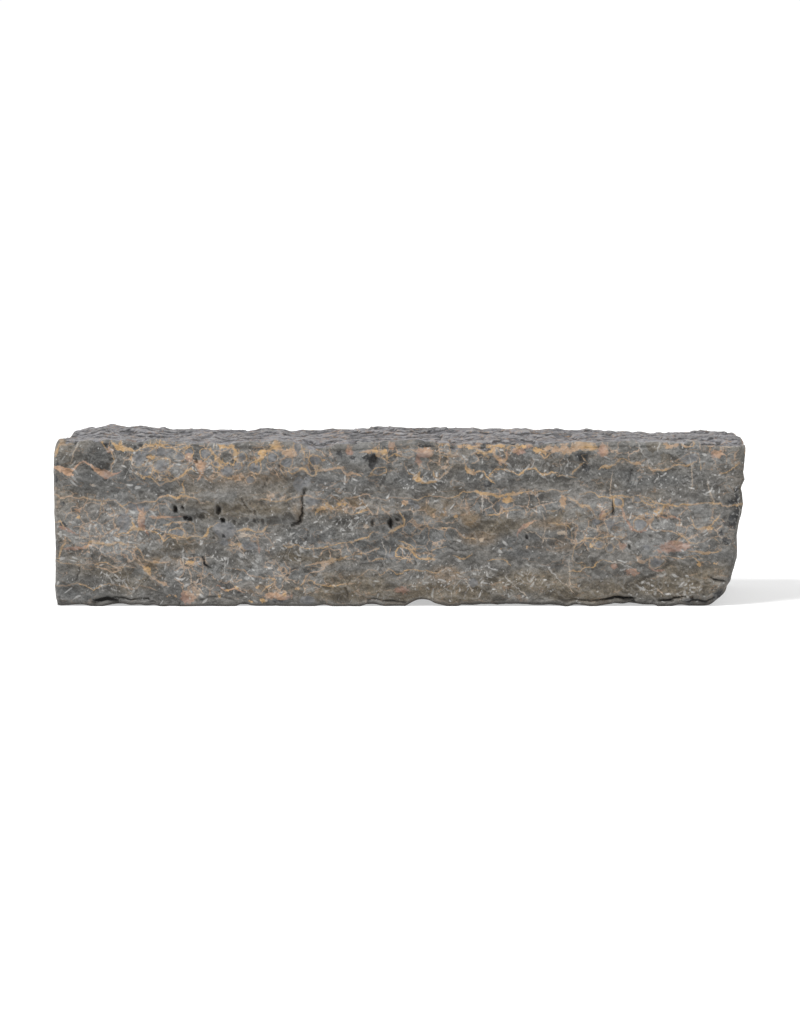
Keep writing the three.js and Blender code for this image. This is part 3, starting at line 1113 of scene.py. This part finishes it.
    def build(self) -> bpy.types.Object:
        """Makes the stone, dressed and placed in the frame.

        Returns:
            Its object.
        """
        net, flat_map = self.blank()
        masks = self.shape(net)
        mesh = bpy.data.meshes.new("stone")
        mesh.from_pydata((net.points * MM).tolist(), [], net.quads.tolist())
        mesh.uv_layers.new(name="OFBake").data.foreach_set("uv", flat_map.astype(np.float32).ravel())
        for name, columns in masks.items():
            layer = mesh.attributes.new(name, "FLOAT_VECTOR", "POINT")
            layer.data.foreach_set("vector", columns.astype(np.float32).ravel())
        mesh.shade_smooth()
        mesh.update()
        stone = bpy.data.objects.new("stone", mesh)
        bpy.context.collection.objects.link(stone)
        mesh.materials.append(MarbleFinish().material())
        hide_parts(self.node)
        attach(stone, self.body)
        log.info("stone: %d points, %d quads", len(net.points), len(net.quads))
        return stone


# ---------------------------------------------------------------------------------------------------
# Finishes
# ---------------------------------------------------------------------------------------------------

class Signal:
    """A shader socket that takes part in Python arithmetic; each sum adds its Math node."""

    def __init__(self, graph: "NodeGraph", socket: bpy.types.NodeSocket) -> None:
        """Wraps one output socket."""
        self.graph = graph
        self.socket = socket

    def output(self, name: str) -> "Signal":
        """Another output of the same node."""
        return Signal(self.graph, self.socket.node.outputs[name])

    def sum_with(self, operation: str, first: "Signal | float", second: "Signal | float") -> "Signal":
        """Adds a Math node on two values."""
        return self.graph.node("ShaderNodeMath", {"operation": operation}, {0: first, 1: second})

    def __add__(self, other: "Signal | float") -> "Signal":
        """self + other."""
        return self.sum_with("ADD", self, other)

    __radd__ = __add__

    def __sub__(self, other: "Signal | float") -> "Signal":
        """self - other."""
        return self.sum_with("SUBTRACT", self, other)

    def __rsub__(self, other: "Signal | float") -> "Signal":
        """other - self."""
        return self.sum_with("SUBTRACT", other, self)

    def __mul__(self, other: "Signal | float") -> "Signal":
        """self * other."""
        return self.sum_with("MULTIPLY", self, other)

    __rmul__ = __mul__

    def __abs__(self) -> "Signal":
        """Size without sign."""
        return self.sum_with("ABSOLUTE", self, 0.0)

    def either(self, other: "Signal | float") -> "Signal":
        """The larger of two masks."""
        return self.sum_with("MAXIMUM", self, other)


class NodeGraph:
    """Builds a node tree from Python expressions."""

    def __init__(self, tree: bpy.types.NodeTree) -> None:
        """Starts from an empty tree."""
        self.tree = tree
        tree.nodes.clear()

    def node(self, kind: str, settings: dict | None = None, sockets: dict | None = None,
             output: str | int = 0) -> Signal:
        """Adds any node.

        Args:
            kind: The node's type.
            settings: Its properties, set first.
            sockets: Values or signals for its inputs, by name or number.
            output: The output to return, by name or number.

        Returns:
            The chosen output.
        """
        made = self.tree.nodes.new(kind)
        for name, value in (settings or {}).items():
            setattr(made, name, value)
        for name, value in (sockets or {}).items():
            if isinstance(value, Signal):
                self.tree.links.new(value.socket, made.inputs[name])
            else:
                made.inputs[name].default_value = value
        return Signal(self, made.outputs[output]) if made.outputs else Signal(self, made.inputs[0])

    def columns(self, name: str) -> tuple[Signal, Signal, Signal]:
        """Reads a mask that the mesh carries.

        Args:
            name: The mask's name.

        Returns:
            Its three columns.
        """
        vector = self.node("ShaderNodeAttribute", {"attribute_name": name}, output="Vector")
        split = self.node("ShaderNodeSeparateXYZ", None, {0: vector})
        return split, split.output("Y"), split.output("Z")

    def noise(self, place: Signal, scale: float, detail: float = 3, roughness: float = 0.55,
              distortion: float = 0, output: str = "Fac") -> Signal:
        """Cloudy noise from 0 to 1; scale is in swells per metre."""
        sockets = {"Vector": place, "Scale": scale, "Detail": detail, "Roughness": roughness,
                   "Distortion": distortion}
        return self.node("ShaderNodeTexNoise", None, sockets, output)

    def cells(self, place: Signal, scale: float, feature: str = "F1", output: str = "Distance") -> Signal:
        """Cell pattern; scale is in cells per metre."""
        sockets = {"Vector": place, "Scale": scale}
        return self.node("ShaderNodeTexVoronoi", {"feature": feature}, sockets, output)

    def turned(self, place: Signal, stretch: tuple[float, float, float],
               degrees: tuple[float, float, float] = (0, 0, 0)) -> Signal:
        """A place that draws a pattern turned by the angles and stretched along the turned axes."""
        turn = tuple(math.radians(angle) for angle in degrees)
        return self.node("ShaderNodeMapping", {"vector_type": "TEXTURE"},
                         {"Vector": place, "Rotation": turn, "Scale": stretch})

    def shaken(self, place: Signal, amount: float, scale: float) -> Signal:
        """A place moved about by noise, by up to half of amount in metres."""
        swirl = self.noise(place, scale, 2, output="Color")
        return self.node("ShaderNodeVectorMath", {"operation": "MULTIPLY_ADD"},
                         {0: swirl, 1: (amount,) * 3, 2: place})

    def step(self, value: Signal, start: float, end: float) -> Signal:
        """Rises smoothly from 0 where value is start to 1 where it is end."""
        return self.node("ShaderNodeMapRange", {"interpolation_type": "SMOOTHSTEP"},
                         {"Value": value, "From Min": start, "From Max": end})

    def vein(self, value: Signal, edge: float, core: float) -> Signal:
        """Thin lines where value crosses its middle, from 0 at edge away from it to 1 at core."""
        return self.step(abs(value - 0.5), edge, core)

    def mix(self, mask: Signal | float, under: Signal | tuple, over: Signal | tuple,
            blend: str = "MIX") -> Signal:
        """Lays one colour over another where the mask is 1."""
        return self.node("ShaderNodeMix", {"data_type": "RGBA", "blend_type": blend, "clamp_factor": True},
                         {0: mask, 6: under, 7: over}, 2)


@dataclass(frozen=True)
class MarbleFinish:
    """Split, unpolished marble.

    Attributes:
        gain: Lightness of the stone against its colours as seen under the studio light.
        roughness: Roughness of the bare stone.
        specular: Strength of its reflections.
    """

    gain: float = 0.59
    roughness: float = 0.74
    specular: float = 0.3

    def colour(self, red: int, green: int, blue: int) -> tuple[float, float, float, float]:
        """A colour of the stone as seen under the studio light, 0 to 255, in the shader's own scale."""
        return tuple(self.gain * (value / 255) ** 2.2 for value in (red, green, blue)) + (1.0,)

    def ground(self, g: NodeGraph, place: Signal, umber: Signal, net_zone: Signal) -> Signal:
        """The clouded grey and brown stone between the markings.

        Args:
            g: The graph to build in.
            place: Position in metres.
            umber: Mask of the browner ground.
            net_zone: Mask of the crowded nodules.

        Returns:
            Its colour.
        """
        broad, cloud, hue = g.columns("drift")
        blotch = g.noise(place, 95, 4, 0.66)
        tone = g.step(cloud * 0.5 + blotch, 0.25, 0.75)
        colour = g.mix(tone, self.colour(99, 97, 94), self.colour(123, 120, 115))
        brown = g.mix(tone, self.colour(100, 92, 80), self.colour(126, 116, 101))
        colour = g.mix(umber.either(g.step(broad, 0.15, 0.6) * 0.5), colour, brown)
        ochre, bright, dusk = g.columns("blots_d")
        colour = g.mix(g.step(ochre + blotch * 8 - 2, -2, 5) * 0.5, colour, self.colour(130, 108, 82))
        colour = g.mix(g.step(bright + blotch * 6, -2, 10) * 0.5, colour, self.colour(150, 147, 143))
        colour = g.mix(g.step(dusk + blotch * 6, -2, 9) * 0.7, colour, self.colour(97, 98, 98))
        cell_place = g.shaken(place, 0.014, 75)
        shade = g.node("ShaderNodeSeparateXYZ", None, {0: g.cells(cell_place, 48, "F1", "Color")})
        light_cells = g.step(shade, 0.45, 0.6) * (0.08 + net_zone * 0.42)
        colour = g.mix(light_cells, colour, self.colour(138, 139, 138))
        dark_cells = g.step(shade, 0.25, 0.12) * (0.1 + net_zone * 0.35)
        colour = g.mix(dark_cells, colour, self.colour(84, 84, 82))
        rim = g.cells(cell_place, 48, "DISTANCE_TO_EDGE")
        rims = g.step(rim, 0.06, 0.02) * g.step(hue + blotch, 0.36, 0.5) * net_zone
        colour = g.mix(rims * 0.7, colour, self.colour(186, 160, 136))
        wisp_place = g.turned(g.shaken(place, 0.02, 40), (3.1, 1, 1))
        wisps = g.vein(g.noise(wisp_place, 34, 3, 0.55), 0.011, 0.003) * g.step(broad + cloud, -0.5, 0.2)
        colour = g.mix(wisps * 0.45, colour, self.colour(170, 142, 116))
        for scale, dark, light in ((300, 0.38, 0.63), (620, 0.34, 0.68)):
            grain = g.step(g.noise(place, scale, 2, 0.8), 0.3, 0.72)
            shades = g.mix(grain, (dark, dark, dark, 1), (light, light, light, 1))
            colour = g.mix(0.75, colour, shades, "OVERLAY")
        return colour

    def flecks(self, g: NodeGraph, place: Signal, crowd: Signal) -> Signal:
        """White calcite flecks, streaks and hairlines.

        Args:
            g: The graph to build in.
            place: Position in metres.
            crowd: How crowded they are, from 0 to 1.

        Returns:
            Their mask.
        """
        swirled = g.shaken(place, 0.045, 17)
        total: Signal | float = 0.0
        for scale, stretch, lean in ((240, (1, 1, 1.4), 0), (170, (1, 1, 3.4), 35), (150, (3.2, 1, 1), 20)):
            cell = g.cells(g.turned(swirled, stretch, (0, lean, 0)), scale)
            split = g.node("ShaderNodeSeparateXYZ", None, {0: cell.output("Color")})
            chosen = g.step(split + crowd * 0.27, 0.92, 0.97) * (0.5 + split.output("Y") * 0.5)
            total = (g.step(cell, 0.4, 0.22) * chosen).either(total)
        hair_place = g.shaken(place, 0.012, 34)
        hairs = g.vein(g.noise(g.turned(hair_place, (1, 1, 2.5), (0, 14, 0)), 46, 1, 0.5), 0.01, 0.002)
        return total.either(hairs * (0.12 + crowd * 0.36))

    def crust(self, g: NodeGraph, place: Signal) -> Signal:
        """The blue-grey, flaky skin of the upper bed.

        Args:
            g: The graph to build in.
            place: Position in metres.

        Returns:
            Its colour.
        """
        bent, _, plate = g.columns("relief")
        broad, cloud, _ = g.columns("drift")
        flaky = g.noise(g.turned(g.shaken(place, 0.02, 30), (1.1, 2.4, 0.8)), 60, 6, 0.75)
        flaky = flaky + plate * 0.08 + broad * 0.14 + cloud * 0.06
        colour = g.mix(g.step(flaky, 0.36, 0.64), self.colour(84, 84, 88), self.colour(151, 150, 154))
        spots = g.noise(g.turned(place, (1, 3, 1)), 170, 4, 0.8)
        colour = g.mix(g.step(spots, 0.42, 0.34) * 0.75, colour, self.colour(48, 48, 51))
        colour = g.mix(g.step(spots, 0.58, 0.66) * 0.6, colour, self.colour(188, 186, 186))
        gap_place = g.turned(g.shaken(place, 0.03, 24), (1.8, 1.2, 1))
        gap = g.vein(g.noise(gap_place, 26, 4, 0.65), 0.02, 0.004)
        colour = g.mix(gap * 0.6, colour, self.colour(46, 45, 47))
        thread = g.vein(g.noise(g.shaken(place, 0.03, 20), 21, 3, 0.6), 0.016, 0.004)
        colour = g.mix(thread * g.step(cloud, -0.4, 0.2) * 0.7, colour, self.colour(186, 158, 132))
        tan = g.step(g.noise(g.turned(place, (1.2, 2.4, 1)), 80, 5, 0.75, 0.5), 0.56, 0.63)
        colour = g.mix(tan * 0.4, colour, self.colour(166, 132, 104))
        # Painted shade: the crust is darker in its hollows. It is also made lighter on its ridges.
        colour = g.mix(g.step(bent, 0.05, 0.45) * 0.55, colour, self.colour(56, 55, 58))
        return g.mix(g.step(bent, -0.1, -0.5) * 0.4, colour, self.colour(184, 182, 183))

    def seam_mask(self, g: NodeGraph, tone: Tone, jitter: tuple[Signal, Signal], width: Signal) -> Signal:
        """Mask of one mineral's seams, each a main strand and a finer one that strays round it.

        Args:
            g: The graph to build in.
            tone: The mineral.
            jitter: Sideways shake of the two strands, in millimetres.
            width: Factor on their width.

        Returns:
            The mask.
        """
        signed, away, half = g.columns(f"{tone.value}_line")
        near = g.step(away - half, 5.5, 3.0)
        line = g.step(abs(signed + jitter[0]) - half * width, 0.5, -0.3)
        strand = g.step(abs(signed + jitter[1]) - half * 0.2, 0.45, -0.15)
        return line.either(strand * 0.45) * near

    def material(self) -> bpy.types.Material:
        """Makes the material.

        Returns:
            The material.
        """
        made = bpy.data.materials.new("veined_marble")
        made.use_nodes = True
        g = NodeGraph(made.node_tree)
        place = g.node("ShaderNodeTexCoord", output="Object")
        gold_blot, rose_blot, pale_blot = g.columns("blots_a")
        coal_blot, ash_blot, umber_blot = g.columns("blots_b")
        net_blot, fleck_blot, smudge_and_shade_blot = g.columns("blots_c")
        bent, pit_shade, _ = g.columns("relief")
        crusted, under, front = g.columns("sides")
        _, _, hue = g.columns("drift")
        thick, crowd, strength = g.columns("drift_b")

        coarse = g.noise(place, 70, 3, 0.7) - 0.5
        fine = g.noise(place, 210, 3, 0.7) - 0.5
        rag = coarse * 9 + fine * 4.5
        stray = fine * 6 - coarse * 8
        edge_rag = coarse * 7 + fine * 8
        width = g.step(thick, -0.5, 0.6) * 0.7 + 0.35
        net_zone = g.step(net_blot + edge_rag, -3, 3)

        colour = self.ground(g, place, g.step(umber_blot + edge_rag, -4, 6), net_zone)
        ash = g.step(ash_blot + edge_rag * 0.6, -0.6, 1.6)
        colour = g.mix(ash * 0.75, colour, g.mix(g.step(coarse, -0.2, 0.2), self.colour(110, 111, 113),
                                                 self.colour(138, 139, 142)))
        # Dark smudges, partly painted shade: the thin dark bands along the foot and the row of pits.
        soot = g.step(smudge_and_shade_blot + edge_rag * 0.9, -2, 4)
        colour = g.mix(soot * 0.45, colour, self.colour(62, 61, 58))
        coal = g.step(coal_blot + edge_rag * 1.1, -0.3, 1.5)
        colour = g.mix(coal * 0.9, colour, g.mix(g.step(fine, -0.15, 0.25), self.colour(44, 45, 46),
                                                 self.colour(80, 81, 83)))

        fade = 1 - crusted * 0.4
        presence = (0.55 + g.step(strength, -0.5, 0.3) * 0.45) * fade
        pale = self.seam_mask(g, Tone.PALE, (rag, stray), width) * presence
        pale = pale.either(g.step(pale_blot + edge_rag * 0.7, 0.2, 1.6) * fade)
        colour = g.mix(pale * 0.8, colour, g.mix(g.step(hue, -0.2, 0.3), self.colour(186, 184, 180),
                                                 self.colour(200, 180, 158)))
        rose = self.seam_mask(g, Tone.ROSE, (rag, stray), width + 0.2) * presence
        rose = rose.either(g.step(rose_blot + edge_rag * 1.2, 0.0, 1.6) * 0.8 * fade)
        colour = g.mix(rose * 0.8, colour, g.mix(g.step(hue, -0.3, 0.3), self.colour(172, 134, 116),
                                                 self.colour(202, 162, 130)))
        gold = self.seam_mask(g, Tone.GOLD, (rag, stray), width) * presence
        gold_patch = g.step(gold_blot + edge_rag * 1.1, 0.2, 1.4) * fade
        gold_colour = g.mix(g.step(hue, -0.5, 0.1), self.colour(188, 158, 130), self.colour(206, 168, 118))
        colour = g.mix((gold * 0.72).either(gold_patch * 0.84), colour, gold_colour)
        crowding = g.step(fleck_blot + crowd * 4, -2, 9) * (1 - net_zone * 0.5)
        flecks = self.flecks(g, place, crowding) * (1 - ash * 0.8)
        colour = g.mix(flecks * 0.72, colour, self.colour(204, 203, 200))
        skin = g.step(crusted + rag * 0.09, 0.32, 0.6)
        colour = g.mix(skin * 0.92, colour, self.crust(g, place))

        # Painted shade: darker in the hollows. The ridges are made lighter.
        colour = g.mix(g.step(bent, -0.05, -0.4) * 0.25, colour, self.colour(160, 158, 154))
        colour = g.mix(g.step(bent, 0.05, 0.5) * 0.34, colour, self.colour(56, 53, 49))
        # Painted shade: the cracks, the creases along the foot and the deep pits are painted near-black, as
        # the shade inside them.
        crack_signed, _, crack_half = g.columns("crack_line")
        crack = g.step(abs(crack_signed + rag * 0.4) - crack_half, 0.5, -0.4)
        crack = crack * g.step(crack_half, -0.2, 1.3) * front
        colour = g.mix((pit_shade * 0.85).either(crack * 0.9), colour, self.colour(22, 20, 19))
        # Painted shade: the underside, facing the floor, is painted dark.
        colour = g.mix(under * 0.8, colour, self.colour(62, 58, 54))

        marked = gold.either(rose).either(pale)
        roughness = self.roughness - marked * 0.12 + fine * 0.2
        scales = g.cells(g.turned(g.shaken(place, 0.01, 50), (1.4, 1, 0.8), (0, 30, 0)), 62)
        facets = g.cells(g.turned(g.shaken(place, 0.006, 90), (1.3, 1, 0.8), (0, -20, 0)), 150)
        pores = g.noise(place, 260, 4, 0.72)
        height = scales * 2.0 + facets * 0.8 + coarse * 1.4 + pores * 0.9 + marked * 0.15
        bump = g.node("ShaderNodeBump", None, {"Strength": 0.9, "Distance": 0.003, "Height": height})
        surface = g.node("ShaderNodeBsdfPrincipled", None, {
            "Base Color": colour, "Roughness": roughness, "Normal": bump,
            "Specular IOR Level": self.specular,
        })
        g.node("ShaderNodeOutputMaterial", None, {"Surface": surface})
        return made


# ---------------------------------------------------------------------------------------------------
# The studio
# ---------------------------------------------------------------------------------------------------

@dataclass(frozen=True)
class SoftLight:
    """A wide, far, soft light.

    Attributes:
        name: What to call it.
        towards: Direction from the block to the light.
        spread: Its width as seen from the block, in degrees.
        power: Its strength.
    """

    name: str
    towards: tuple[float, float, float]
    spread: float
    power: float

    def hang(self) -> None:
        """Makes the light."""
        light = bpy.data.lights.new(self.name, "SUN")
        light.angle, light.energy = math.radians(self.spread), self.power
        holder = bpy.data.objects.new(self.name, light)
        holder.location = self.towards
        holder.rotation_euler = Vector(self.towards).to_track_quat("Z", "Y").to_euler()
        bpy.context.collection.objects.link(holder)


@dataclass(frozen=True)
class Studio:
    """Pale floor, soft lights, white surroundings and the camera.

    Attributes:
        floor_size: Length of the floor's sides in metres.
        camera_place: Where the camera stands.
        camera_aim: What it looks at.
        lens: Its focal length in millimetres on a 36 mm wide sensor.
        horizon: Brightness of the surroundings near the horizon.
        zenith: Their brightness overhead.
    """

    floor_size: float = 900
    camera_place: tuple[float, float, float] = (-0.0065, -4.95, 0.59)
    camera_aim: tuple[float, float, float] = (-0.0082, 0.0, 0.1387)
    lens: float = 105.5
    horizon: float = 1.03
    zenith: float = 0.55
    lights: tuple[SoftLight, ...] = (
        SoftLight("key_light", (-0.52, -0.36, 0.77), 20, 4.3),
        SoftLight("fill_light", (0.7, -0.65, 0.3), 60, 0.9),
    )

    def lay_floor(self) -> None:
        """Makes the floor."""
        half = self.floor_size / 2
        corners = [(-half, -half, 0), (half, -half, 0), (half, half, 0), (-half, half, 0)]
        mesh = bpy.data.meshes.new("floor")
        mesh.from_pydata(corners, [], [(0, 1, 2, 3)])
        floor = bpy.data.objects.new("floor", mesh)
        bpy.context.collection.objects.link(floor)
        pale = bpy.data.materials.new("pale_floor")
        pale.use_nodes = True
        g = NodeGraph(pale.node_tree)
        surface = g.node("ShaderNodeBsdfPrincipled", None,
                         {"Base Color": (0.5, 0.5, 0.5, 1), "Roughness": 0.9, "Specular IOR Level": 0.1,
                          "Emission Color": (1, 1, 1, 1), "Emission Strength": 0.5})
        g.node("ShaderNodeOutputMaterial", None, {"Surface": surface})
        mesh.materials.append(pale)

    def light(self) -> None:
        """Hangs the lights and paints the surroundings."""
        for light in self.lights:
            light.hang()
        world = bpy.data.worlds.new("surroundings")
        world.use_nodes = True
        bpy.context.scene.world = world
        g = NodeGraph(world.node_tree)
        way = g.node("ShaderNodeTexCoord", output="Generated")
        up = g.node("ShaderNodeSeparateXYZ", None, {0: way}).output("Z")
        strength = self.horizon - g.step(up, 0.15, 0.6) * (self.horizon - self.zenith)
        sky = g.node("ShaderNodeBackground", None, {"Color": (1, 1, 1, 1), "Strength": strength})
        g.node("ShaderNodeOutputWorld", None, {"Surface": sky})

    def stand_camera(self) -> None:
        """Makes the scene's camera."""
        camera = bpy.data.objects.new("camera", bpy.data.cameras.new("camera"))
        camera.data.lens = self.lens
        camera.data.sensor_width = 36
        camera.location = self.camera_place
        ahead = Vector(self.camera_aim) - camera.location
        camera.rotation_euler = ahead.to_track_quat("-Z", "Y").to_euler()
        bpy.context.collection.objects.link(camera)
        bpy.context.scene.camera = camera

    def build(self) -> None:
        """Sets the whole studio up."""
        self.stand_camera()
        self.lay_floor()
        self.light()
        bpy.context.scene.view_settings.view_transform = "Standard"
        log.info("studio: %d lights", len(self.lights))


def main() -> None:
    """Builds the studio and the stone."""
    logging.basicConfig(level=logging.INFO, format="%(name)s: %(message)s")
    Studio().build()
    MarbleStone().build()


if __name__ == "__main__":
    main()
